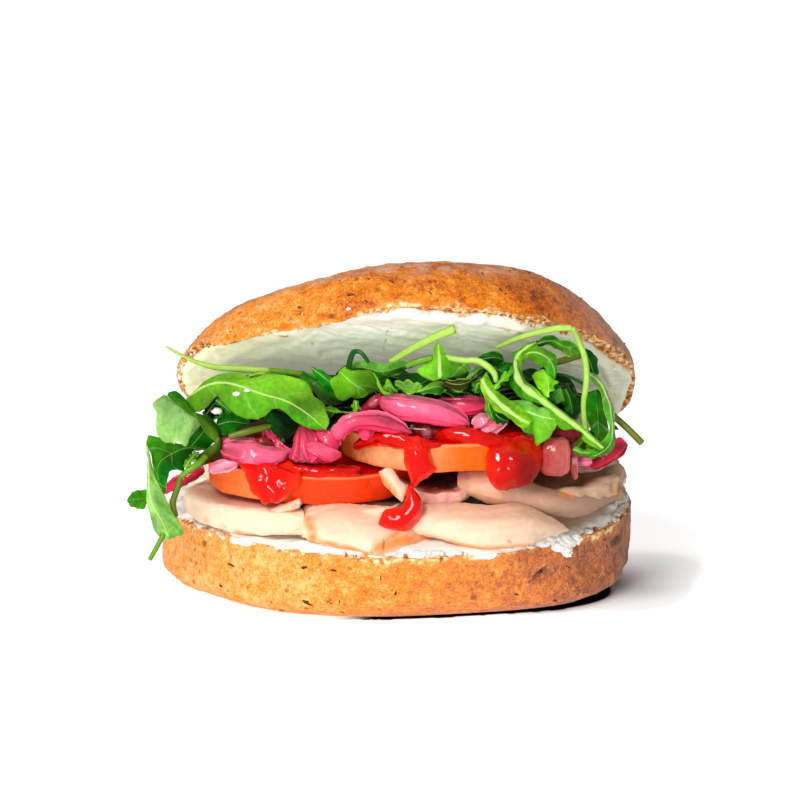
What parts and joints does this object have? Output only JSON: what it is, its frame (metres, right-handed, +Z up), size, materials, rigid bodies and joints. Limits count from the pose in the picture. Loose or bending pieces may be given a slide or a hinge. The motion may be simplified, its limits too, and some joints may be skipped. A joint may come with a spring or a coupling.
{
  "type": "bagel sandwich",
  "caption": "Wholegrain bagel sandwich propped open at the front, filled with soft cheese, sliced chicken, tomato, pickled red onion, tomato sauce and green salad leaves.",
  "frame": {"origin": "centre of the sandwich's footprint, on the surface it stands on", "axes": "+Z up, the open front of the sandwich looks towards -Y, +X to the right of someone facing it"},
  "size_m": [0.1164, 0.109, 0.0788],
  "materials": {
    "crust": "baked wholegrain crust, satin, with dark seeds",
    "cream_cheese": "soft white cheese with knife marks",
    "chicken": "moist cooked breast meat, browned at an edge",
    "tomato": "wet red flesh and skin",
    "onion": "wet, half translucent pink petals",
    "sauce": "very glossy red sauce",
    "rocket": "fresh green leaves with pale stalks"
  },
  "bodies": {
    "root": {"bagel_bottom": "crust", "bagel_top": "crust", "cream_bottom": "cream_cheese", "cream_top": "cream_cheese", "tomato_lower": "tomato", "tomato_upper": "tomato", "chicken_front_left": "chicken", "chicken_middle": "chicken", "chicken_front_middle": "chicken", "chicken_front_right": "chicken", "chicken_back_right": "chicken", "chicken_back_left": "chicken", "chicken_back": "chicken", "chicken_right_upper": "chicken", "chicken_right_high": "chicken", "chicken_inner_fold": "chicken", "chicken_torn_strip": "chicken", "onion_left_arc": "onion", "onion_left_curl": "onion", "onion_left_tip": "onion", "onion_fan": "onion", "onion_arch": "onion", "onion_big_petal": "onion", "onion_back_petal": "onion", "onion_crumpled_end": "onion", "onion_right_block": "onion", "onion_right_ring": "onion", "onion_left_low": "onion", "onion_side_left": "onion", "onion_side_right": "onion", "onion_back_arc": "onion", "sauce_left": "sauce", "sauce_left_pool": "sauce", "sauce_middle": "sauce", "sauce_top_pool": "sauce", "sauce_right": "sauce", "sauce_low_drop": "sauce", "rocket": "rocket"}
  },
  "joints": []
}
